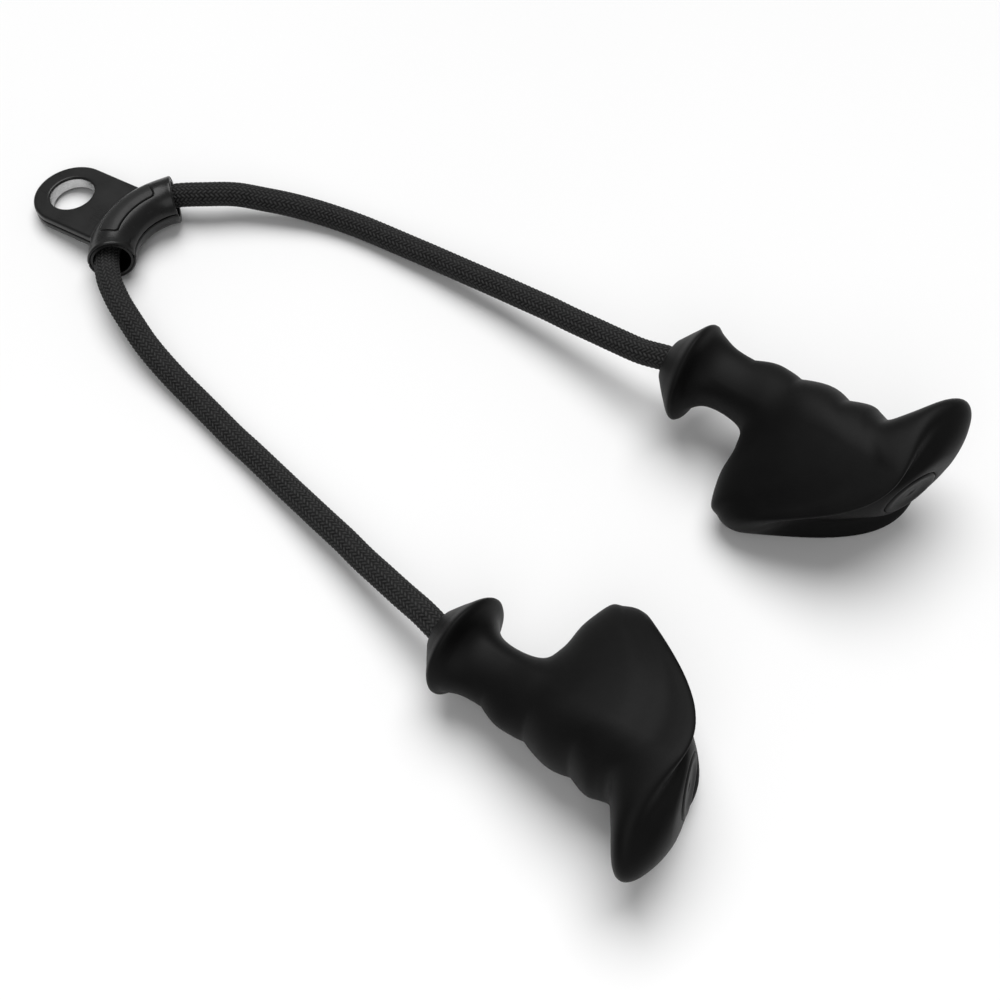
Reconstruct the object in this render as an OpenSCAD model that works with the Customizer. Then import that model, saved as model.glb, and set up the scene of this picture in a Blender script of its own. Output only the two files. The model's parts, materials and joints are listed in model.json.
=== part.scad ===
// Cable-machine rope attachment: an eye plate with a bent guide tube, a braided rope threaded
// through the tube, and two moulded hand grips on the rope's ends.
// The part lies on a flat surface at z = 0. +X runs from the eye to the grips, +Y is to the left.

/* [Rope] */
// Diameter of the braided rope
rope_d = 12.7; // [12:0.1:13]
// Sides of the cross-section of a free strand
rope_sides = 12; // [8:1:12]

/* [Yoke] */
// Bore of the steel bush in the eye, which a carabiner goes through
eye_bore_d = 23; // [20:0.5:24]
// Outer diameter of that bush
eye_bush_d = 26; // [25.5:0.5:27]
// From the eye's centre to the middle of the guide tube's bend
eye_reach = 39.5; // [38:0.5:45]
// Radius of the plate's round tip, which is half its width
tip_r = 20.5; // [19:0.5:22]
// Thickness of the plate over both shells
plate_t = 8; // [8:0.5:12]
// Radius of the guide tube's bend, at its centreline
bend_r = 36; // [34:1:40]
// Angle that the guide tube turns the rope through
bend_angle = 88; // [70:1:90]
// Outer diameter of the guide tube
tube_d = 24; // [23.5:0.5:26]
// Bore that the rope runs in
tube_bore_d = 19; // [18:0.5:19.5]
// Outer diameter of the rounded lip at each mouth
lip_d = 25; // [24.5:0.5:28]
// How far the plate dips towards its tip as the yoke lies at rest, in degrees
yoke_dip = 8; // [8:0.5:12]
// How far the yoke is turned to the left as it lies at rest, in degrees
yoke_turn = 4; // [0:1:8]

/* [Grip] */
// Length of a grip from its rope mouth to the middle of its end face
grip_len = 129; // [127:1:132]
// Radius of the stopper disc in front of the hand
stopper_r = 24.5; // [22:0.5:26]
// Reach of the palm wing from the rope's axis
palm_reach = 62; // [55:1:65]
// Reach of the foot under the little finger
foot_reach = 53.5; // [48:0.5:56]
// Half the width of the wing's rim
rim_half_w = 27; // [24:0.5:30]
// How far the sides of the rim are swept back from its ends, most on the palm's side
rim_sweep = 25; // [20:1:30]
// Tilt of the wing's rim from square, in degrees
rim_tilt = 25; // [18:1:30]
// Distance between two finger grooves
finger_pitch = 20.5; // [19:0.5:22]
// Depth of the finger grooves
finger_depth = 3; // [1:0.5:4]
// Tilt of the end face and its plug from square, in degrees
end_tilt = 22; // [18:1:24]

/* [Grip fittings] */
// Outer diameter of the hard sleeve that lines a grip
sleeve_d = 16.5; // [16:0.1:17]
// Bore of that sleeve, in which the rope turns
sleeve_bore_d = 13.4; // [13.3:0.1:13.8]
// Length of the pocket in a grip's end, for the ferrule
pocket_len = 34; // [34:1:36]
// Radius of that pocket
pocket_r = 11; // [10.8:0.1:11.2]
// Outer diameter of the ferrule crimped on the rope's end
ferrule_d = 20; // [18:0.5:20.5]
// Length of the ferrule
ferrule_len = 21; // [18:1:21]
// Thickness of the steel washer that the ferrule pulls against
washer_t = 2; // [1.5:0.5:3]
// Radius of the plug that closes the pocket
plug_r = 14; // [13:0.5:14.5]

/* [Hidden] */
$fn = 64;

// Middle of the guide tube's bend, along X
yoke_x = -181;
// Half angle of the bend
half_bend = bend_angle / 2;
// Thickness of the steel plate between the shells, and the shells' margin round it
core_t = 4;
core_margin = 2;
// Steel wall of the guide tube inside the shells
guide_wall = 1.2;
guide_r = tube_bore_d / 2 + guide_wall;
// The rope presses on the outer side of the bore, and this much gap is left there
rope_gap = 0.5;
rope_r = rope_d / 2;
rope_bend_r = bend_r + tube_bore_d / 2 - rope_r - rope_gap;
// The plate's tip touches the surface
tip_reach = eye_reach + tip_r;
yoke_z = tip_reach * sin(yoke_dip) + plate_t / 2 * cos(yoke_dip);
// How deep the bush's ends sit below the plate's faces, and how far the shells lap over them
bush_inset = 1.2;
eye_lap = 1.2;
// Screws from underneath, between the eye and the tube
screw_x = -17.5;
screw_y = 13;
screw_r = 1.5;
screw_head_r = 3;
screw_head_t = 1.8;
// How deep the heads sit below the plate's underside, and the shell left above the screws
screw_sink = 0.2;
screw_roof = 1;
// Blank pad let into the top of the tube
pad_angle = 54;
pad_half_w = 24;
pad_depth = 0.6;
pad_rise = 0.3;
// Clearance of pieces that turn against each other
turn_gap = 0.4;

// Where each grip's rope mouth is, and how the grip lies: roll, dip and heading in degrees
left_at = [96.5, 86.5, 31.2];
left_lie = [204, -1.5, 1];
right_at = [100.5, -91.5, 23.3];
right_lie = [4, -5.5, 0.5];

// The free strands' routes from the tube's mouths to the grips
left_route = [
    [-161.5, 38.5, 14], [-150.5, 48, 13], [-138.5, 55.5, 11], [-126.5, 62, 9.5], [-114, 68, 7.5],
    [-100.5, 72.5, 6.5], [-87, 75.5, 6.5], [-73, 77.5, 7], [-59, 79, 8], [-45, 80.5, 9],
    [-31, 81.5, 10.5], [-17, 82.5, 12], [-3, 83.5, 13.5], [11, 84, 15.5], [25, 84.5, 17.5],
    [39, 84.5, 19.5], [53, 84.5, 22], [67, 84.5, 24.5], [81, 84.5, 27.5]];
right_route = [
    [-161, -34.5, 14.5], [-148, -41.5, 14.5], [-134.5, -46.5, 13], [-120.5, -51, 11], [-107, -54, 9],
    [-93, -56.5, 7.5], [-79.5, -58.5, 6.5], [-65.5, -61, 6.5], [-51.5, -63.5, 6.5], [-38, -65.5, 7],
    [-24, -68, 8], [-10, -70.5, 9], [3.5, -73, 10.5], [17, -75.5, 12], [31, -78, 13.5],
    [45, -81, 15], [58.5, -83.5, 17], [72, -86, 19], [86, -88.5, 21.5]];

// ---- Curves

// A row of a table, the end rows standing for those past the ends
function row(t, k) = t[max(0, min(len(t) - 1, k))];

// The table read at u = row + fraction, along a smooth curve through its rows
function smooth(t, u) =
    let (i = min(floor(u), len(t) - 2), f = u - i,
        a = row(t, i - 1), b = row(t, i), c = row(t, i + 1), d = row(t, i + 2))
    0.5 * (2 * b + (c - a) * f + (2 * a - 5 * b + 4 * c - d) * f * f
        + (3 * b - a - 3 * c + d) * f * f * f);

function unit(v) = v / norm(v);

// Faces that close a stack of rings of m points each
function ring_faces(n, m) = concat(
    [for (i = [0:n - 2], j = [0:m - 1]) [i * m + j, i * m + (j + 1) % m, (i + 1) * m + (j + 1) % m]],
    [for (i = [0:n - 2], j = [0:m - 1]) [i * m + j, (i + 1) * m + (j + 1) % m, (i + 1) * m + j]],
    [[for (j = [m - 1:-1:0]) j]],
    [[for (j = [0:m - 1]) (n - 1) * m + j]]);

// ---- Grip surface: rings along the rope's axis, X, with the palm towards +Y

// One row per station: distance along the axis, tilt, palm reach, finger reach, half width, sweep
stations = [
    [0, 0, 11, 11, 11, 0],
    [7, -2, stopper_r - 5.5, stopper_r - 5.5, stopper_r - 5.5, 0],
    [13, -4, stopper_r, stopper_r, stopper_r, 0],
    [17, -3, stopper_r - 7, stopper_r - 2, stopper_r - 8, 0],
    [25, 0, 11.5, 19.5, 12.5, 0],
    [37, 2, 10.5, 19, 12.5, 1],
    [48, 5, 13.5, 20, 15, 3],
    [54, 10, 22.5, 21.5, rim_half_w - 10, 6],
    [62, 17, 37.5, 23, rim_half_w - 5.5, 12],
    [75, rim_tilt - 4, palm_reach - 8, 24.5, rim_half_w - 2.5, rim_sweep - 8],
    [84, rim_tilt - 2, palm_reach - 3.5, 25.5, rim_half_w - 2, rim_sweep - 5],
    [90, rim_tilt - 1, palm_reach - 1, 24.5, rim_half_w - 1.8, rim_sweep - 3],
    [95, rim_tilt, palm_reach, 26, rim_half_w - 0.6, rim_sweep - 1],
    [99, rim_tilt, palm_reach - 0.8, foot_reach - 16.5, rim_half_w, rim_sweep],
    [103, rim_tilt, palm_reach - 4.5, foot_reach - 3.5, rim_half_w - 0.5, rim_sweep - 1],
    [107, rim_tilt + 1, palm_reach - 11.5, foot_reach, rim_half_w - 2.5, rim_sweep - 5],
    [112, rim_tilt + 3, 40, 49.5, rim_half_w - 6, 13],
    [grip_len - 8, end_tilt + 4, 28, 38, rim_half_w - 8, 4],
    [grip_len - 2, end_tilt + 2, 20, 26, 17, 1],
    [grip_len, end_tilt, 16, 16, 15.5, 0]];
groove_start = 35;
grooves = 3;
grip_sides = 36;
ring_step = 3.5;

// Outward swell of the finger ridges at a station
function ridge(s) =
    let (x = (s - groove_start) / finger_pitch)
    x > 0 && x < grooves ? finger_depth * abs(sin(180 * x)) : 0;

// The wing is also bent a little towards the rope, by rim_bend degrees at its palm end
rim_bend = 2;
function grip_point(st, phi) =
    let (reach = cos(phi) > 0 ? st[2] : st[3],
        p = reach * cos(phi) - ridge(st[0]) * pow(max(0, -cos(phi)), 1.5),
        tilt = st[1] + rim_bend * p / palm_reach)
    [st[0] - p * sin(tilt) + st[5] * pow(abs(sin(phi)), 3) * (1 + cos(phi)), p * cos(tilt),
        st[4] * sin(phi)];

// Places along the stations: a ring about every ring_step
grip_places = concat(
    [for (i = [0:len(stations) - 2])
        let (n = max(2, round((stations[i + 1][0] - stations[i][0]) / ring_step)))
        for (k = [0:n - 1]) i + k / n],
    [len(stations) - 1]);

module grip_form() {
    points = [for (u = grip_places) let (st = smooth(stations, u))
        for (j = [0:grip_sides - 1]) grip_point(st, 360 * j / grip_sides)];
    polyhedron(points, ring_faces(len(grip_places), grip_sides), convexity = 6);
}

// A cylinder along the grip's axis, from a to b
module along(a, b, r) {
    translate([a, 0, 0]) rotate([0, 90, 0]) cylinder(h = b - a, r = r);
}

module tube_along(a, b, r, bore_r) {
    difference() {
        along(a, b, r);
        along(a - 1, b + 1, bore_r);
    }
}

pocket_x = grip_len - pocket_len;
plug_t = 5;
plug_rise = 0.8;

// Leans a piece with the end face, about its middle
module at_end() {
    translate([grip_len, 0, 0]) rotate([0, 0, end_tilt]) translate([-grip_len, 0, 0]) children();
}

module grip_body() {
    color([0.07, 0.07, 0.075]) difference() {
        grip_form();
        along(-1, pocket_x + 1, sleeve_d / 2);
        along(pocket_x, grip_len, pocket_r);
        at_end() along(grip_len - plug_t, grip_len + 3, plug_r);
    }
}

module grip_sleeve() {
    color([0.2, 0.2, 0.22]) tube_along(1.5, pocket_x, sleeve_d / 2, sleeve_bore_d / 2);
}

module thrust_washer() {
    color("silver") tube_along(pocket_x, pocket_x + washer_t, pocket_r, sleeve_bore_d / 2);
}

ferrule_x = pocket_x + washer_t + turn_gap;

module rope_ferrule() {
    color("silver") tube_along(ferrule_x, ferrule_x + ferrule_len, ferrule_d / 2, rope_r);
}

module rope_tail() {
    color([0.12, 0.12, 0.12]) along(0, ferrule_x + ferrule_len, rope_r);
}

module end_plug() {
    color([0.1, 0.1, 0.1]) at_end() along(grip_len - plug_t, grip_len + plug_rise, plug_r);
}

module left_place() { translate(left_at) rotate(left_lie) children(); }
module right_place() { translate(right_at) rotate(right_lie) children(); }

module left_grip_body() { left_place() grip_body(); }
module left_grip_sleeve() { left_place() grip_sleeve(); }
module left_thrust_washer() { left_place() thrust_washer(); }
module left_rope_tail() { left_place() rope_tail(); }
module left_rope_ferrule() { left_place() rope_ferrule(); }
module left_end_plug() { left_place() end_plug(); }
module right_grip_body() { right_place() grip_body(); }
module right_grip_sleeve() { right_place() grip_sleeve(); }
module right_thrust_washer() { right_place() thrust_washer(); }
module right_rope_tail() { right_place() rope_tail(); }
module right_rope_ferrule() { right_place() rope_ferrule(); }
module right_end_plug() { right_place() end_plug(); }

// ---- Yoke, drawn flat with the middle of the bend at the origin and the eye towards -X

module yoke_place() { translate([yoke_x, 0, yoke_z]) rotate([0, -yoke_dip, yoke_turn]) children(); }

// A solid swept round the bend: its section is drawn with x outwards from the bend's centreline
module round_bend(angle = bend_angle) {
    translate([bend_r, 0, 0]) rotate([0, 0, 180 - angle / 2])
        rotate_extrude(angle = angle, $fn = 128) translate([bend_r, 0]) children();
}

// A section swept along the last few degrees of the bend at each mouth
lip_angle = 5;
module lips() {
    for (side = [-1, 1])
        translate([bend_r, 0, 0]) rotate([0, 0, 180 + side * (half_bend - lip_angle / 2) - lip_angle / 2])
            rotate_extrude(angle = lip_angle, $fn = 128) translate([bend_r, 0]) children();
}

// A slab in the plate's plan, from z = 0 up: the round tip and the straight sides that touch it
module plate_slab(thickness, inset = 0) {
    r = tip_r - inset;
    translate([-eye_reach, 0, 0]) cylinder(h = thickness, r = r);
    translate([-eye_reach, -r, 0]) cube([eye_reach, 2 * r, thickness]);
}

module screw_spots() {
    for (side = [-1, 1]) translate([screw_x, side * screw_y, 0]) children();
}

// The upper half of a tube's section
module half_ring(r_in, r_out) {
    difference() {
        intersection() {
            circle(r = r_out);
            translate([-r_out - 1, 0]) square([2 * r_out + 2, r_out + 1]);
        }
        circle(r = r_in);
    }
}

// Clears the plate where the guide tube passes, running past both mouths
module tube_way() { round_bend(bend_angle + 10) circle(r = guide_r); }

// Half of the plate and tube, above the joint face at z = 0, hollow for the steel inside
module shell_half() {
    difference() {
        union() {
            difference() {
                plate_slab(plate_t / 2);
                tube_way();
            }
            round_bend() half_ring(guide_r, tube_d / 2);
        }
        translate([0, 0, -1]) plate_slab(core_t / 2 + 1, core_margin);
        translate([-eye_reach, 0, -1]) cylinder(h = plate_t / 2 - bush_inset + 1, d = eye_bush_d);
        translate([-eye_reach, 0, -1]) cylinder(h = plate_t, d = eye_bush_d - 2 * eye_lap);
    }
    lips() half_ring(guide_r, lip_d / 2);
}

module yoke_upper_shell() {
    yoke_place() color([0.1, 0.1, 0.1]) difference() {
        shell_half();
        pad_form(tube_d / 2 - pad_depth, tube_d / 2 + 2);
        screw_spots() cylinder(h = plate_t / 2 - screw_roof, r = screw_r);
    }
}

module yoke_lower_shell() {
    yoke_place() color([0.13, 0.13, 0.13]) difference() {
        mirror([0, 0, 1]) shell_half();
        screw_spots() translate([0, 0, -plate_t]) {
            cylinder(h = plate_t + 1, r = screw_r);
            cylinder(h = plate_t / 2 + screw_head_t, r = screw_head_r);
        }
    }
}

module yoke_core_plate() {
    yoke_place() color("silver") difference() {
        translate([0, 0, -core_t / 2]) plate_slab(core_t, core_margin);
        tube_way();
        translate([-eye_reach, 0, -core_t]) cylinder(h = 2 * core_t, d = eye_bush_d);
        screw_spots() cylinder(h = 2 * core_t, r = screw_r, center = true);
    }
}

module yoke_guide_tube() {
    yoke_place() color("silver") round_bend() difference() {
        circle(r = guide_r);
        circle(r = tube_bore_d / 2);
    }
}

module eye_bush() {
    yoke_place() color("silver") translate([-eye_reach, 0, bush_inset - plate_t / 2]) difference() {
        cylinder(h = plate_t - 2 * bush_inset, d = eye_bush_d);
        translate([0, 0, -1]) cylinder(h = plate_t + 2, d = eye_bore_d);
    }
}

module yoke_screws() {
    yoke_place() color("gray") screw_spots() translate([0, 0, screw_sink - plate_t / 2]) {
        cylinder(h = plate_t - screw_sink - screw_roof, r = screw_r);
        cylinder(h = screw_head_t - screw_sink, r = screw_head_r);
    }
}

// A band of the tube's top, between two radii of its section
module pad_form(r_in, r_out) {
    round_bend(pad_angle) difference() {
        intersection() {
            circle(r = r_out);
            polygon([[0, 0], tube_d * [-sin(pad_half_w), cos(pad_half_w)],
                tube_d * [sin(pad_half_w), cos(pad_half_w)]]);
        }
        circle(r = r_in);
    }
}

module blank_badge_pad() {
    yoke_place() color([0.05, 0.05, 0.05])
        pad_form(tube_d / 2 - pad_depth, tube_d / 2 + pad_rise);
}

// ---- Rope

module rope_bight() {
    yoke_place() color([0.12, 0.12, 0.12]) translate([bend_r, 0, 0]) rotate([0, 0, 180 - half_bend])
        rotate_extrude(angle = bend_angle, $fn = 128) translate([rope_bend_r, 0]) circle(r = rope_r);
}

// A direction in the yoke's own plane as it lies at rest
function yoke_way(x, y) =
    let (level = x * cos(yoke_dip))
    [level * cos(yoke_turn) - y * sin(yoke_turn), level * sin(yoke_turn) + y * cos(yoke_turn),
        x * sin(yoke_dip)];

// Where the rope leaves a mouth, side = 1 on the left
function mouth(side) = [yoke_x, 0, yoke_z]
    + yoke_way(bend_r - rope_bend_r * cos(half_bend), side * rope_bend_r * sin(half_bend));

strand_rings = 30;
// How far the free strands stop short of the rope in the yoke, so that the solids don't touch
seam = 0.05;

// The rope's direction as it leaves a mouth, and along a grip's axis
function mouth_way(side) = yoke_way(sin(half_bend), side * cos(half_bend));
function grip_way(lie) = [cos(lie[2]) * cos(lie[1]), sin(lie[2]) * cos(lie[1]), -sin(lie[1])];

// A tube of the rope's diameter along a smooth curve through the points, square to start_way
// and end_way at its ends so that it meets the rope in the yoke and in the grip face to face
module strand(points, start_way, end_way) {
    n = strand_rings - 1;
    centres = [for (k = [0:n]) smooth(points, (len(points) - 1) * k / n)];
    ways = [for (k = [0:n])
        k == 0 ? start_way : k == n ? end_way : unit(centres[k + 1] - centres[k - 1])];
    rings = [for (k = [0:n])
        let (side = unit(cross([0, 0, 1], ways[k])), up = cross(ways[k], side))
        for (j = [0:rope_sides - 1])
            let (a = 360 * j / rope_sides)
            centres[k] + rope_r * (cos(a) * side + sin(a) * up)];
    color([0.12, 0.12, 0.12]) polyhedron(rings, ring_faces(n + 1, rope_sides), convexity = 8);
}

module left_rope_strand() {
    start = mouth(1) + seam * mouth_way(1);
    strand(concat([start], left_route, [left_at]), mouth_way(1), grip_way(left_lie));
}
module right_rope_strand() {
    start = mouth(-1) + seam * mouth_way(-1);
    strand(concat([start], right_route, [right_at]), mouth_way(-1), grip_way(right_lie));
}

yoke_upper_shell();
yoke_lower_shell();
yoke_core_plate();
yoke_guide_tube();
eye_bush();
yoke_screws();
blank_badge_pad();
rope_bight();
left_rope_strand();
right_rope_strand();
left_grip_body();
left_grip_sleeve();
left_thrust_washer();
left_rope_tail();
left_rope_ferrule();
left_end_plug();
right_grip_body();
right_grip_sleeve();
right_thrust_washer();
right_rope_tail();
right_rope_ferrule();
right_end_plug();
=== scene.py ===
"""A gym rope attachment on a pale floor: eye plate with a guide tube, braided rope and two grips.

The CAD frame gives the bodies, the joints and the fittings inside the yoke and the grips. This
script builds the rest: the moulded shells, the pad, the braided rope, the grips and their plugs.
"""
import json
import math

import bpy
import numpy as np
from mathutils import Matrix, Vector


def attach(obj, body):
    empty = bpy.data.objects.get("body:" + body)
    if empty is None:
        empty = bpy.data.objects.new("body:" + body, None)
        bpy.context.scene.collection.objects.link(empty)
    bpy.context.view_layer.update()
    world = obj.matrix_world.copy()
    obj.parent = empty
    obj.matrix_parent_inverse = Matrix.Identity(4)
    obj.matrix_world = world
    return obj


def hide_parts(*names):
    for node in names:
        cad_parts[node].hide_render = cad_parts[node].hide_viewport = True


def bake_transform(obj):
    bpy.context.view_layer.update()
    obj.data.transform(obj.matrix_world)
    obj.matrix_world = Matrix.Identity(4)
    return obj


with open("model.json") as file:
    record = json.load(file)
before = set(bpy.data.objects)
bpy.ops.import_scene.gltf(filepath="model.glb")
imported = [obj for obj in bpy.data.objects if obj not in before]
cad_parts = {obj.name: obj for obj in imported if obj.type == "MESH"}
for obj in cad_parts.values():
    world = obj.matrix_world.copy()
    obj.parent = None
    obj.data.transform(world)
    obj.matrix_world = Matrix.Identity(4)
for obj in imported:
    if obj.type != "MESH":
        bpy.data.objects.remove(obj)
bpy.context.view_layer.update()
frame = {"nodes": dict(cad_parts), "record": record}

MM = 0.001
scene = bpy.context.scene
scene.view_settings.view_transform = "Standard"


# ---- Camera, at the photograph's viewing angle

CAMERA_PLACE = (0.3584, -0.3812, 0.725)
CAMERA_TILT = 33
CAMERA_HEADING = 38
SENSOR_WIDTH, LENS = 36, 66
NEAREST_SEEN = 0.05


def make_camera():
    data = bpy.data.cameras.new("camera")
    data.sensor_width = SENSOR_WIDTH
    data.lens = LENS
    data.clip_start = NEAREST_SEEN
    camera = bpy.data.objects.new("camera", data)
    camera.location = CAMERA_PLACE
    camera.rotation_euler = (math.radians(CAMERA_TILT), 0, math.radians(CAMERA_HEADING))
    scene.collection.objects.link(camera)
    scene.camera = camera


make_camera()


# ---- Curves and meshes

def smooth(rows, u):
    """Rows of a table read at u = row + fraction, along a Catmull-Rom curve."""
    rows, u = np.asarray(rows, float), np.asarray(u, float)
    i = np.minimum(np.floor(u).astype(int), len(rows) - 2)
    f = (u - i)[:, None]
    a, b, c, d = (rows[np.clip(i + k, 0, len(rows) - 1)] for k in (-1, 0, 1, 2))
    return 0.5 * (2 * b + (c - a) * f + (2 * a - 5 * b + 4 * c - d) * f ** 2
                  + (3 * b - a - 3 * c + d) * f ** 3)


def spaced(line, count):
    """The line again, with that many points at equal distances."""
    along = np.concatenate([[0], np.cumsum(np.linalg.norm(np.diff(line, axis=0), axis=1))])
    at = np.linspace(0, along[-1], count)
    return np.stack([np.interp(at, along, line[:, k]) for k in range(3)], axis=1)


def length_of(line):
    return np.linalg.norm(np.diff(line, axis=0), axis=1).sum()


def units(vectors):
    return vectors / np.linalg.norm(vectors, axis=-1, keepdims=True)


def grid_faces(rows, columns, joined=False):
    """Quads of a tube of rows rings with that many columns; joined closes it end to end."""
    i = np.arange(rows if joined else rows - 1)[:, None]
    j = np.arange(columns)[None, :]
    k, m = (i + 1) % rows, (j + 1) % columns
    quads = np.stack(np.broadcast_arrays(
        i * columns + j, i * columns + m, k * columns + m, k * columns + j), axis=-1)
    return quads.reshape(-1, 4).tolist()


def make_piece(name, points, faces, material):
    mesh = bpy.data.meshes.new(name)
    mesh.from_pydata(np.asarray(points, float).tolist(), [], faces)
    mesh.polygons.foreach_set("use_smooth", [True] * len(mesh.polygons))
    mesh.materials.append(material)
    mesh.validate()
    piece = bpy.data.objects.new(name, mesh)
    scene.collection.objects.link(piece)
    return piece


def set_uv(piece, name, values):
    """Writes a pair of numbers at each vertex as a UV map."""
    mesh = piece.data
    layer = mesh.uv_layers.new(name=name)
    corner = np.zeros(len(mesh.loops), np.int32)
    mesh.loops.foreach_get("vertex_index", corner)
    layer.data.foreach_set("uv", np.asarray(values, np.float32)[corner].ravel())


# ---- Materials

class Nodes:
    """A node material being built, with short calls for the nodes used here."""

    def __init__(self, name, **inputs):
        self.material = bpy.data.materials.new(name)
        self.material.use_nodes = True
        self.tree = self.material.node_tree
        self.shader = self.tree.nodes["Principled BSDF"]
        for key, value in inputs.items():
            self.shader.inputs[key.replace("_", " ")].default_value = value

    def link(self, source, target):
        self.tree.links.new(source, target)

    def node(self, kind, settings=(), **inputs):
        made = self.tree.nodes.new(kind)
        for key, value in dict(settings).items():
            setattr(made, key, value)
        for key, value in inputs.items():
            socket = made.inputs[key.replace("_", " ")]
            if isinstance(value, bpy.types.NodeSocket):
                self.link(value, socket)
            else:
                socket.default_value = value
        return made

    def place(self, stretch=(1, 1, 1)):
        """Object coordinates in metres, stretched."""
        coordinates = self.node("ShaderNodeTexCoord").outputs["Object"]
        return self.node("ShaderNodeMapping", Vector=coordinates, Scale=stretch).outputs["Vector"]

    def noise(self, scale, detail=3, roughness=0.5, stretch=(1, 1, 1)):
        return self.node("ShaderNodeTexNoise", Vector=self.place(stretch), Scale=scale,
                         Detail=detail, Roughness=roughness).outputs["Fac"]

    def math(self, operation, a, b=0.0):
        made = self.tree.nodes.new("ShaderNodeMath")
        made.operation = operation
        for socket, value in zip(made.inputs, (a, b)):
            if isinstance(value, bpy.types.NodeSocket):
                self.link(value, socket)
            else:
                socket.default_value = value
        return made.outputs[0]

    def span(self, value, low, high, from_low=0.0, from_high=1.0):
        """The value's range mapped to low..high."""
        return self.node("ShaderNodeMapRange", Value=value, From_Min=from_low, From_Max=from_high,
                         To_Min=low, To_Max=high).outputs["Result"]

    def mix(self, factor, a, b):
        made = self.tree.nodes.new("ShaderNodeMix")
        made.data_type = "RGBA"
        self.link(factor, made.inputs["Factor"])
        for socket, value in ((made.inputs[6], a), (made.inputs[7], b)):
            if isinstance(value, bpy.types.NodeSocket):
                self.link(value, socket)
            else:
                socket.default_value = (*value, 1)
        return made.outputs[2]

    def colour(self, source):
        self.link(source, self.shader.inputs["Base Color"])

    def rough(self, source):
        self.link(source, self.shader.inputs["Roughness"])

    def bump(self, height, distance, strength=1.0):
        """Height as bump, on top of any bump made before it."""
        made = self.node("ShaderNodeBump", Height=height, Distance=distance, Strength=strength)
        normal = self.shader.inputs["Normal"]
        if normal.is_linked:
            self.link(normal.links[0].from_socket, made.inputs["Normal"])
        self.link(made.outputs["Normal"], normal)

    def worn_edges(self, low=0.52, high=0.6):
        """0 on flat faces to 1 on sharp outer edges."""
        pointiness = self.node("ShaderNodeNewGeometry").outputs["Pointiness"]
        return self.span(pointiness, 0, 1, low, high)


def rubber(name, tone):
    """Matte moulded rubber: a fine satin grain, faint cloudy tone and paler rubbed edges."""
    m = Nodes(name, Roughness=0.5, Specular_IOR_Level=0.1)
    cloud = m.noise(28, 4, 0.6)
    grain = m.noise(3800, 2, 0.6)
    speck = m.noise(900, 3, 0.7)
    base = m.mix(m.span(cloud, 0, 1, 0.35, 0.65), (tone * 0.8,) * 3, (tone * 1.25,) * 3)
    worn = m.mix(m.math("MULTIPLY", m.worn_edges(), 0.5), base, (tone * 2.4,) * 3)
    m.colour(worn)
    m.rough(m.math("ADD", m.span(cloud, 0.44, 0.54, 0.3, 0.7), m.span(speck, -0.04, 0.05)))
    m.bump(grain, 0.00006, 0.55)
    m.bump(speck, 0.0001, 0.35)
    return m.material


def moulded(name, tone, rough_low, rough_high):
    """Glass-filled nylon with a semi-gloss skin, faint flow marks and hairline rubs."""
    m = Nodes(name, Specular_IOR_Level=0.25, Coat_Weight=0.08, Coat_Roughness=0.18)
    cloud = m.noise(70, 4, 0.55)
    grain = m.noise(2600, 2, 0.5)
    rubs = m.noise(160, 6, 0.75, (1, 9, 2))
    base = m.mix(cloud, (tone * 0.85,) * 3, (tone * 1.2,) * 3)
    m.colour(m.mix(m.math("MULTIPLY", m.worn_edges(0.53, 0.62), 0.35), base, (tone * 3,) * 3))
    m.rough(m.math("ADD", m.span(cloud, rough_low, rough_high, 0.3, 0.7),
                   m.span(rubs, -0.03, 0.06, 0.35, 0.7)))
    m.bump(grain, 0.00004, 0.35)
    m.bump(cloud, 0.0004, 0.25)
    return m.material


def steel(name, tone, rough_low, rough_high, stretch=(1, 1, 12)):
    """Machined steel: fine turning marks, uneven polish and a few darker stains."""
    m = Nodes(name, Metallic=1.0)
    marks = m.noise(900, 4, 0.7, stretch)
    stain = m.noise(120, 4, 0.6)
    m.colour(m.mix(m.span(stain, 0, 1, 0.35, 0.75), (tone,) * 3, (tone * 0.72,) * 3))
    m.rough(m.span(marks, rough_low, rough_high, 0.3, 0.7))
    m.bump(marks, 0.00005, 0.4)
    return m.material


def braid_fibre(name, tone):
    """Polyester braid: filaments along each yarn, painted highlight on the yarns' crowns and painted
    shade in the gaps between yarns.
    """
    m = Nodes(name, Roughness=0.5, Specular_IOR_Level=0.3)
    yarn = m.node("ShaderNodeUVMap", {"uv_map": "yarn"}).outputs["UV"]
    split = m.node("ShaderNodeSeparateXYZ", Vector=yarn)
    across, crown = split.outputs["X"], split.outputs["Y"]
    filaments = m.math("SINE", m.math("MULTIPLY", across, 2 * math.pi * 7))
    cloud = m.noise(240, 3, 0.6)
    fuzz = m.noise(5200, 2, 0.6)
    # Painted light: the braid's height makes the crowns paler as a painted highlight and the gaps
    # between yarns near black as painted shade.
    base = m.mix(m.span(crown, 0, 1, 0.45, 0.95), (tone * 0.08,) * 3, (tone * 2.2,) * 3)
    m.colour(m.mix(m.span(cloud, 0, 0.5, 0.35, 0.75), base, (tone * 1.7,) * 3))
    m.rough(m.span(fuzz, 0.5, 0.78, 0.3, 0.7))
    m.bump(filaments, 0.00007, 0.5)
    m.bump(fuzz, 0.00008, 0.5)
    return m.material


grip_rubber = rubber("grip_rubber", 0.0035)
plug_rubber = rubber("plug_rubber", 0.008)
shell_plastic = moulded("yoke_shell", 0.008, 0.27, 0.36)
pad_plastic = moulded("badge_pad", 0.008, 0.5, 0.6)
sleeve_plastic = moulded("sleeve_nylon", 0.05, 0.4, 0.5)
bare_steel = steel("bare_steel", 0.6, 0.2, 0.38)
dark_steel = steel("dark_steel", 0.05, 0.35, 0.5)
plated_steel = steel("plated_steel", 0.68, 0.16, 0.3)
rope_fibre = braid_fibre("rope_braid", 0.016)

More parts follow.
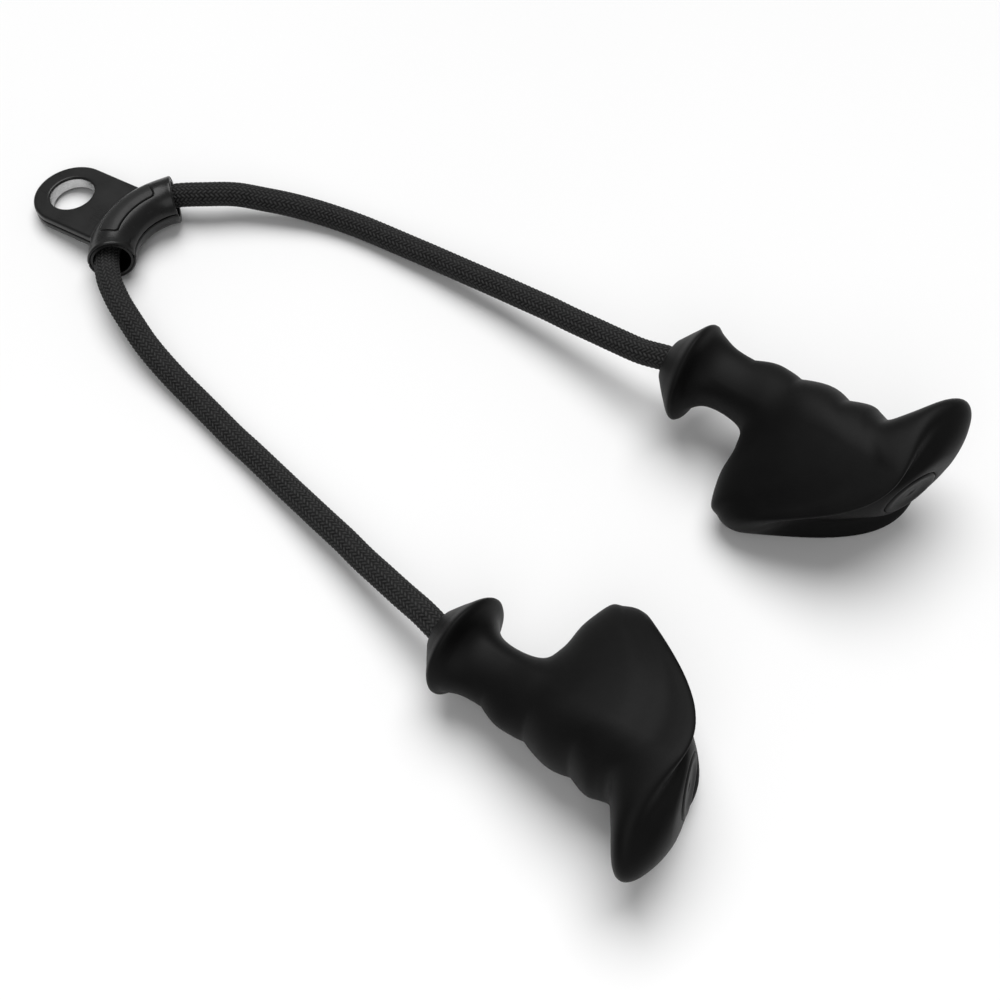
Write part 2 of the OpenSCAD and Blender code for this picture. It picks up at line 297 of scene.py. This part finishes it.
NODE_MATERIALS = {
    "bare_steel": bare_steel, "dark_steel": dark_steel, "plated_steel": plated_steel,
    "sleeve_nylon": sleeve_plastic, "rope_braid": rope_fibre, "grip_rubber": grip_rubber,
    "plug_rubber": plug_rubber, "yoke_shell": shell_plastic, "badge_pad": pad_plastic,
}


# ---- Yoke's place and driving sizes, in millimetres

YOKE_AT = (-181, 0, 12.312)
YOKE_DIP = math.radians(8)
YOKE_TURN = math.radians(4)
BEND_R = 36
HALF_BEND = math.radians(44)
ROPE_R = 6.35
ROPE_BEND_R = 38.65


def from_yoke(points):
    """Points of the yoke drawn flat, in millimetres, as they lie in the row frame in metres."""
    turn = np.array(Matrix.Rotation(YOKE_TURN, 3, "Z") @ Matrix.Rotation(-YOKE_DIP, 3, "Y"))
    return (np.asarray(points, float) @ turn.T + YOKE_AT) * MM


def bight_point(angle):
    """The rope's middle in the guide tube; angle runs from the bend's middle, left positive."""
    return from_yoke([[BEND_R - ROPE_BEND_R * math.cos(angle), ROPE_BEND_R * math.sin(angle), 0]])[0]


# ---- Grips' places: rope mouth in millimetres, then roll, dip and heading in degrees

GRIPS = {
    "left": ((96.5, 86.5, 31.2), (204, -1.5, 1)),
    "right": ((100.5, -91.5, 23.3), (4, -5.5, 0.5)),
}


def grip_matrix(side):
    at, (roll, dip, heading) = GRIPS[side]
    turn = (Matrix.Rotation(math.radians(heading), 4, "Z")
            @ Matrix.Rotation(math.radians(dip), 4, "Y")
            @ Matrix.Rotation(math.radians(roll), 4, "X"))
    return Matrix.Translation(Vector(at) * MM) @ turn


def from_grip(side, points):
    """Points in a grip's own frame, in millimetres, as they lie in the row frame in metres."""
    m = np.array(grip_matrix(side))
    return np.asarray(points, float) * MM @ m[:3, :3].T + m[:3, 3]


# ---- Rope: a braid of twenty yarns each way, two over and two under

ROUTES = {
    "left": [
        (-161.5, 38.5, 14), (-150.5, 48, 13), (-138.5, 55.5, 11), (-126.5, 62, 9.5), (-114, 68, 7.5),
        (-100.5, 72.5, 6.5), (-87, 75.5, 6.5), (-73, 77.5, 7), (-59, 79, 8), (-45, 80.5, 9),
        (-31, 81.5, 10.5), (-17, 82.5, 12), (-3, 83.5, 13.5), (11, 84, 15.5), (25, 84.5, 17.5),
        (39, 84.5, 19.5), (53, 84.5, 22), (67, 84.5, 24.5), (81, 84.5, 27.5)],
    "right": [
        (-161, -34.5, 14.5), (-148, -41.5, 14.5), (-134.5, -46.5, 13), (-120.5, -51, 11),
        (-107, -54, 9), (-93, -56.5, 7.5), (-79.5, -58.5, 6.5), (-65.5, -61, 6.5),
        (-51.5, -63.5, 6.5), (-38, -65.5, 7), (-24, -68, 8), (-10, -70.5, 9), (3.5, -73, 10.5),
        (17, -75.5, 12), (31, -78, 13.5), (45, -81, 15), (58.5, -83.5, 17), (72, -86, 19),
        (86, -88.5, 21.5)],
}
YARNS = 20
YARN_PITCH = 2.4 * MM
CELL_STEPS = 6
YARN_LIFT = 0.8 * MM
# How far a strand runs into the tube and into its grip, and how far the rope's middle laps over it
TUCK_IN, BIGHT_LAP = 12, 1.2
LINE_POINTS = 1200


def braid(u, v):
    """Height of the braid, 0 to 1, and the place across the yarn on top, at yarn places u, v."""
    i, j = np.floor(u + 1e-6), np.floor(v + 1e-6)
    first = np.mod(i + j, 4) < 2
    across = np.where(first, u - i, v - j)
    along = np.where(first, np.mod(i + v, 4) / 2, (np.mod(u + j, 4) - 2) / 2)
    crown = np.sin(np.pi * np.clip(across, 0, 1)) ** 0.8
    float_over = np.sin(np.pi * np.clip(along, 0, 1)) ** 0.6
    return crown * (0.3 + 0.7 * float_over), across


def braided_tube(name, line):
    """A closed tube along the line with the braid as real relief; returns the piece and its path."""
    rings = round(length_of(line) / (YARN_PITCH / CELL_STEPS)) + 1
    columns = YARNS * CELL_STEPS
    path = spaced(line, rings)
    ways = units(np.gradient(path, axis=0))
    side = units(np.cross([0, 0, 1], ways))
    up = np.cross(ways, side)
    y = np.arange(rings)[:, None] / CELL_STEPS
    x = np.arange(columns)[None, :] / CELL_STEPS
    height, across = braid(x + y, x - y)
    radius = (ROPE_R * MM - YARN_LIFT + YARN_LIFT * height)[..., None]
    angle = (2 * np.pi * x / YARNS)[..., None]
    points = path[:, None] + radius * (np.cos(angle) * side[:, None] + np.sin(angle) * up[:, None])
    faces = grid_faces(rings, columns)
    faces.append(list(range(columns))[::-1])
    faces.append([(rings - 1) * columns + k for k in range(columns)])
    piece = make_piece(name, points.reshape(-1, 3), faces, rope_fibre)
    set_uv(piece, "yarn", np.stack([across, height], axis=-1).reshape(-1, 2))
    return piece, path


def make_strand(side):
    sign = 1 if side == "left" else -1
    tuck = TUCK_IN / ROPE_BEND_R
    inside = [bight_point(sign * (HALF_BEND - tuck * k)) for k in (2, 1)]
    mouth = bight_point(sign * HALF_BEND)
    into_grip = from_grip(side, [(TUCK_IN * k, 0, 0) for k in range(3)])
    points = np.vstack([inside, [mouth], np.array(ROUTES[side]) * MM, into_grip])
    line = smooth(points, np.linspace(1, len(points) - 2, LINE_POINTS))
    piece, path = braided_tube(f"{side}_rope_braid", line)
    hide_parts(f"{side}_rope_strand")
    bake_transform(piece)


def make_bight():
    reach = HALF_BEND - (TUCK_IN - BIGHT_LAP) / ROPE_BEND_R
    line = np.array([bight_point(a) for a in np.linspace(-reach, reach, 200)])
    piece, _ = braided_tube("rope_bight_braid", line)
    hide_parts("rope_bight")
    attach(piece, "yoke")


for side in GRIPS:
    make_strand(side)
make_bight()


# ---- Grips

GRIP_LEN = 129
END_TILT = 22
RIM_BEND = 2
STOPPER_R = 24.5
PALM_REACH, FOOT_REACH = 62, 53.5
RIM_HALF_W, RIM_SWEEP, RIM_TILT = 27, 25, 25
FINGER_PITCH, FINGER_DEPTH, GROOVE_START, GROOVES = 20.5, 3, 35, 3
SLEEVE_R, POCKET_X, POCKET_R = 8.25, 95, 11
PLUG_R, PLUG_T, PLUG_RISE, PLUG_GAP, PLUG_DISH = 14, 5, 0.8, 0.3, 0.9
# Radius of the flat middle of the plug's dish, and of the tiny rings that stand for its axis
PLUG_MIDDLE_R, NEARLY_0 = 4, 0.01
# Distance along the axis, tilt, palm reach, finger reach, half width, sweep
STATIONS = [
    (0, 0, 11, 11, 11, 0),
    (7, -2, STOPPER_R - 5.5, STOPPER_R - 5.5, STOPPER_R - 5.5, 0),
    (13, -4, STOPPER_R, STOPPER_R, STOPPER_R, 0),
    (17, -3, STOPPER_R - 7, STOPPER_R - 2, STOPPER_R - 8, 0),
    (25, 0, 11.5, 19.5, 12.5, 0),
    (37, 2, 10.5, 19, 12.5, 1),
    (48, 5, 13.5, 20, 15, 3),
    (54, 10, 22.5, 21.5, RIM_HALF_W - 10, 6),
    (62, 17, 37.5, 23, RIM_HALF_W - 5.5, 12),
    (75, RIM_TILT - 4, PALM_REACH - 8, 24.5, RIM_HALF_W - 2.5, RIM_SWEEP - 8),
    (84, RIM_TILT - 2, PALM_REACH - 3.5, 25.5, RIM_HALF_W - 2, RIM_SWEEP - 5),
    (90, RIM_TILT - 1, PALM_REACH - 1, 24.5, RIM_HALF_W - 1.8, RIM_SWEEP - 3),
    (95, RIM_TILT, PALM_REACH, 26, RIM_HALF_W - 0.6, RIM_SWEEP - 1),
    (99, RIM_TILT, PALM_REACH - 0.8, FOOT_REACH - 16.5, RIM_HALF_W, RIM_SWEEP),
    (103, RIM_TILT, PALM_REACH - 4.5, FOOT_REACH - 3.5, RIM_HALF_W - 0.5, RIM_SWEEP - 1),
    (107, RIM_TILT + 1, PALM_REACH - 11.5, FOOT_REACH, RIM_HALF_W - 2.5, RIM_SWEEP - 5),
    (112, RIM_TILT + 3, 40, 49.5, RIM_HALF_W - 6, 13),
    (GRIP_LEN - 8, END_TILT + 4, 28, 38, RIM_HALF_W - 8, 4),
    (GRIP_LEN - 2, END_TILT + 2, 20, 26, 17, 1),
    (GRIP_LEN, END_TILT, 16, 16, 15.5, 0)]
GRIP_SIDES = 144
RING_STEP = 0.9


def grip_rings(places):
    """Rings of the grip's skin at these places along the stations, in its own frame."""
    s, tilt, palm, finger, width, sweep = (c[:, None] for c in smooth(STATIONS, places).T)
    phi = 2 * np.pi * np.arange(GRIP_SIDES)[None, :] / GRIP_SIDES
    reach = np.where(np.cos(phi) > 0, palm, finger)
    x = (s - GROOVE_START) / FINGER_PITCH
    ridge = np.where((x > 0) & (x < GROOVES), FINGER_DEPTH * np.abs(np.sin(np.pi * x)), 0)
    p = reach * np.cos(phi) - ridge * np.maximum(0, -np.cos(phi)) ** 1.5
    tilt = np.radians(tilt + RIM_BEND * p / PALM_REACH)
    swept = sweep * np.abs(np.sin(phi)) ** 3 * (1 + np.cos(phi))
    return np.stack([s - p * np.sin(tilt) + swept, p * np.cos(tilt), width * np.sin(phi)], axis=-1)


def round_rings(profile):
    """Rings about the grip's axis through a profile of (distance along it, radius)."""
    phi = 2 * np.pi * np.arange(GRIP_SIDES) / GRIP_SIDES
    return np.array([np.stack([np.full_like(phi, x), r * np.cos(phi), r * np.sin(phi)], axis=-1)
                     for x, r in profile])


def at_end(rings):
    """Leans rings with the end face, about its middle."""
    c, s = math.cos(math.radians(END_TILT)), math.sin(math.radians(END_TILT))
    x, y, z = rings[..., 0] - GRIP_LEN, rings[..., 1], rings[..., 2]
    return np.stack([GRIP_LEN + x * c - y * s, x * s + y * c, z], axis=-1)


def make_grip(side):
    places = np.concatenate(
        [i + np.arange(n) / n for i, n in enumerate(
            max(3, round((b[0] - a[0]) / RING_STEP)) for a, b in zip(STATIONS, STATIONS[1:]))]
        + [[len(STATIONS) - 1]])
    recess = at_end(round_rings([(GRIP_LEN, PLUG_R + 0.5), (GRIP_LEN - 0.5, PLUG_R),
                                 (GRIP_LEN - PLUG_T, PLUG_R)]))
    pocket = round_rings([(GRIP_LEN, POCKET_R), (POCKET_X, POCKET_R), (POCKET_X, SLEEVE_R),
                          (1, SLEEVE_R), (0.2, SLEEVE_R + 0.3), (0, SLEEVE_R + 0.9)])
    lean = math.radians(END_TILT)
    pocket[0, :, 0] -= (PLUG_T + pocket[0, :, 1] * math.sin(lean)) / math.cos(lean)
    rings = np.concatenate([grip_rings(places), recess, pocket])
    faces = grid_faces(len(rings), GRIP_SIDES, joined=True)
    piece = make_piece(f"{side}_grip_skin", from_grip(side, rings.reshape(-1, 3)), faces, grip_rubber)
    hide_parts(f"{side}_grip_body")
    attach(piece, f"{side}_grip")


def make_plug(side):
    """A domed plug with a rounded edge and a shallow dished middle."""
    foot, top, edge_r = GRIP_LEN - PLUG_T, GRIP_LEN + PLUG_RISE, PLUG_R - PLUG_GAP
    dish = top - PLUG_DISH
    profile = [(foot, NEARLY_0), (foot, edge_r), (top - 1.2, edge_r),
               (top - 0.5, PLUG_R - 0.5), (top - 0.1, PLUG_R - 1.1), (top, PLUG_R - 2),
               (top - 0.1, PLUG_R - 3.5), (top - 0.7, PLUG_R - 5),
               (dish, PLUG_MIDDLE_R), (dish, NEARLY_0)]
    rings = at_end(round_rings(profile))
    faces = grid_faces(len(rings), GRIP_SIDES, joined=True)
    piece = make_piece(f"{side}_plug_cap", from_grip(side, rings.reshape(-1, 3)), faces, plug_rubber)
    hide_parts(f"{side}_end_plug")
    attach(piece, f"{side}_grip")


for side in GRIPS:
    make_grip(side)
    make_plug(side)


# ---- Yoke shells, as distance fields in the yoke's flat frame, in millimetres

EYE_X, TIP_R, PLATE_T = -39.5, 20.5, 8
TUBE_R, GUIDE_R = 12, 10.7
EYE_BUSH_R, EYE_LAP, BUSH_INSET = 13, 1.2, 1.2
LIP_RISE, LIP_LEN = 0.4, 6
# Flare of the bore at each mouth: where it starts inside, and how fast it grows
FLARE_LEN, FLARE_RATE = 1.0, 0.25
# Half the gap at the parting line, and how softly each shell is rounded towards it
PARTING, PARTING_SOFT = 0.2, 1.1
# Roundings: the plate's edges, its join to the tube, the mouths and the eye's edges
PLATE_SOFT, JOIN_SOFT, MOUTH_SOFT, EYE_SOFT = 1.6, 1.6, 1.4, 1.0
# How far a shell runs past each mouth, and the gap round the bush's outside
MOUTH_PAST, BUSH_GAP = 0.3, 0.05
PAD_HALF_LEN, PAD_HALF_W, PAD_CORNER = 17.5, 5, 2.4
# Groove round the pad, depth of its recess, and the pad's own rise and depth from the tube's skin
PAD_GROOVE, PAD_RECESS, PAD_RISE, PAD_SINK = 0.25, 0.6, 0.25, 0.55
# The boxes that the shells and the pad are drawn in, and the steps of their grids; each shell's
# box runs a little past the parting line
SHELL_LOW, SHELL_HIGH = (-62.5, -36), (24, 36)
SHELL_TOP, SHELL_UNDER = 14, 0.5
PAD_LOW, PAD_HIGH = (-14, -20, 8), (12, 20, 14)
SHELL_STEP, PAD_STEP = 0.5, 0.35


def soft_min(a, b, k):
    h = np.maximum(k - np.abs(a - b), 0) / k
    return np.minimum(a, b) - h * h * k / 4


def soft_max(a, b, k):
    return -soft_min(-a, -b, k)


def tube_frame(p):
    """Distance past a mouth, outward offset from the tube's middle, and signed angle."""
    x, y = BEND_R - p[..., 0], p[..., 1]
    rho = np.hypot(x, y)
    angle = np.arctan2(y, x)
    return (np.abs(angle) - HALF_BEND) * rho, rho - BEND_R, angle


def plate_field(p):
    """The plate's plan: a round tip and two straight sides that touch it, ended at the tube."""
    x, y = p[..., 0] - EYE_X, np.abs(p[..., 1])
    plan = np.where(x < 0, np.hypot(x, y), y) - TIP_R
    return np.maximum(plan, p[..., 0])


def tube_field(p):
    past, q, _ = tube_frame(p)
    z = p[..., 2]
    lip = LIP_RISE * np.clip(1 + past / LIP_LEN, 0, 1) ** 2
    return soft_max(np.hypot(q, z) - TUBE_R - lip, past - MOUTH_PAST, MOUTH_SOFT)


def bore_field(p):
    past, q, _ = tube_frame(p)
    flare = np.clip(past + FLARE_LEN, 0, 3) ** 2 * FLARE_RATE
    return np.hypot(q, p[..., 2]) - GUIDE_R - flare


def pad_plan(p, grow=0.0):
    """The pad's rounded rectangle, wrapped over the top of the tube."""
    _, q, angle = tube_frame(p)
    s = np.abs(angle) * BEND_R - (PAD_HALF_LEN + grow - PAD_CORNER)
    w = np.abs(np.arctan2(q, p[..., 2])) * TUBE_R - (PAD_HALF_W + grow - PAD_CORNER)
    return np.hypot(np.maximum(s, 0), np.maximum(w, 0)) + np.minimum(np.maximum(s, w), 0) - PAD_CORNER


def shell_field(p, upper):
    sign = 1 if upper else -1
    z = p[..., 2] * sign
    plate = soft_max(plate_field(p), z - PLATE_T / 2, PLATE_SOFT)
    body = soft_min(plate, tube_field(p), JOIN_SOFT)
    from_eye = np.hypot(p[..., 0] - EYE_X, p[..., 1])
    body = soft_max(body, EYE_BUSH_R - EYE_LAP - from_eye, EYE_SOFT)
    seat = np.maximum(from_eye - EYE_BUSH_R - BUSH_GAP, z - PLATE_T / 2 + BUSH_INSET)
    body = np.maximum(body, -seat)
    body = np.maximum(body, -bore_field(p))
    if upper:
        _, q, _ = tube_frame(p)
        floor = TUBE_R - PAD_RECESS - np.hypot(q, p[..., 2])
        body = soft_max(body, -soft_max(pad_plan(p, PAD_GROOVE), floor, 0.3), 0.3)
    return soft_max(body, PARTING - z, PARTING_SOFT)


def pad_field(p):
    _, q, _ = tube_frame(p)
    r = np.hypot(q, p[..., 2])
    crowned = soft_max(pad_plan(p), r - TUBE_R - PAD_RISE, 0.7)
    return soft_max(crowned, TUBE_R - PAD_SINK - r, 0.2)


def field_mesh(field, low, high, step):
    """Points and quads of the surface where the field is zero, by surface nets."""
    axes = [np.arange(a, b + step, step) for a, b in zip(low, high)]
    grid = np.stack(np.meshgrid(*axes, indexing="ij"), axis=-1)
    value = field(grid)
    inside = value < 0
    cells = tuple(n - 1 for n in value.shape)
    total, count = np.zeros((*cells, 3)), np.zeros(cells)
    for axis in range(3):
        a = [slice(None)] * 3
        b = [slice(None)] * 3
        a[axis], b[axis] = slice(None, -1), slice(1, None)
        a, b = tuple(a), tuple(b)
        crossed = inside[a] != inside[b]
        t = np.where(crossed, value[a] / np.where(crossed, value[a] - value[b], 1), 0)[..., None]
        place = grid[a] + t * (grid[b] - grid[a])
        others = [k for k in range(3) if k != axis]
        for da in (0, 1):
            for db in (0, 1):
                pick = [slice(None)] * 3
                for k, d in zip(others, (da, db)):
                    pick[k] = slice(d, d + cells[k])
                pick = tuple(pick)
                total += place[pick] * crossed[pick][..., None]
                count += crossed[pick]
    used = count > 0
    index = np.full(cells, -1)
    index[used] = np.arange(used.sum())
    points = total[used] / count[used][:, None]
    faces = []
    for axis in range(3):
        a = [slice(1, -1)] * 3
        b = [slice(1, -1)] * 3
        a[axis], b[axis] = slice(None, -1), slice(1, None)
        first, second = inside[tuple(a)], inside[tuple(b)]
        at = np.argwhere(first != second)
        o1, o2 = [k for k in range(3) if k != axis]
        cell = at.copy()
        cell[:, o1] += 1
        cell[:, o2] += 1
        corners = []
        for d1, d2 in ((0, 0), (1, 0), (1, 1), (0, 1)):
            c = cell.copy()
            c[:, o1] -= d1
            c[:, o2] -= d2
            corners.append(index[c[:, 0], c[:, 1], c[:, 2]])
        quads = np.stack(corners, axis=-1)
        flip = first[tuple(at.T)] == (axis == 1)
        quads[flip] = quads[flip][:, ::-1]
        faces.append(quads)
    return settle(field, points, step), np.concatenate(faces).tolist()


def settle(field, points, step, rounds=4, probe=0.02):
    """Moves each point onto the surface along the field's slope, never further than a step."""
    start = points.copy()
    for _ in range(rounds):
        slope = np.stack([field(points + d) - field(points - d)
                          for d in np.eye(3) * probe], axis=-1) / (2 * probe)
        size = np.maximum((slope ** 2).sum(-1), 0.25)
        points = points - slope * (field(points) / size)[:, None]
        points = start + np.clip(points - start, -step / 2, step / 2)
    return points


def make_shell(name, upper, node):
    bottom, top = (-SHELL_UNDER, SHELL_TOP) if upper else (-SHELL_TOP, SHELL_UNDER)
    points, faces = field_mesh(lambda p: shell_field(p, upper),
                               (*SHELL_LOW, bottom), (*SHELL_HIGH, top), SHELL_STEP)
    piece = make_piece(name, from_yoke(points), faces, shell_plastic)
    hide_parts(node)
    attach(piece, "yoke")


make_shell("yoke_upper_moulding", True, "yoke_upper_shell")
make_shell("yoke_lower_moulding", False, "yoke_lower_shell")


def make_pad():
    points, faces = field_mesh(pad_field, PAD_LOW, PAD_HIGH, PAD_STEP)
    piece = make_piece("blank_pad_inlay", from_yoke(points), faces, pad_plastic)
    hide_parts("blank_badge_pad")
    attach(piece, "yoke")


make_pad()


# ---- CAD nodes that stay, with their finish

SLOT_OF = {row["node"]: row["material_slot"] for row in frame["record"]["subparts"]}
for name, node in frame["nodes"].items():
    node.data.materials.clear()
    node.data.materials.append(NODE_MATERIALS[SLOT_OF[name]])


# ---- Floor and light

FLOOR_HALF_SIZE = 8
WORLD_STRENGTH = 0.25


def make_floor():
    m = Nodes("floor_paint", Roughness=0.9, Specular_IOR_Level=0.1)
    m.colour(m.mix(m.noise(3, 2), (0.88,) * 3, (0.92,) * 3))
    corners = [(x * FLOOR_HALF_SIZE, y * FLOOR_HALF_SIZE, 0)
               for x, y in ((-1, -1), (1, -1), (1, 1), (-1, 1))]
    floor = make_piece("floor", corners, [[0, 1, 2, 3]], m.material)


def make_light(name, place, kind, power, **shape):
    """A light that shines from its place towards the part's middle."""
    data = bpy.data.lights.new(name, kind)
    data.energy = power
    for key, value in shape.items():
        setattr(data, key, value)
    light = bpy.data.objects.new(name, data)
    light.location = place
    light.rotation_euler = (-Vector(place)).to_track_quat("-Z", "Y").to_euler()
    scene.collection.objects.link(light)


def make_world():
    world = bpy.data.worlds.new("studio")
    world.use_nodes = True
    background = world.node_tree.nodes["Background"]
    background.inputs["Color"].default_value = (1, 1, 1, 1)
    background.inputs["Strength"].default_value = WORLD_STRENGTH
    scene.world = world


make_floor()
make_world()
make_light("key", (-0.5, 0.75, 2.0), "SUN", 2.6, angle=math.radians(50))
make_light("fill", (0.9, -1.3, 1.5), "AREA", 9, size=1.4)
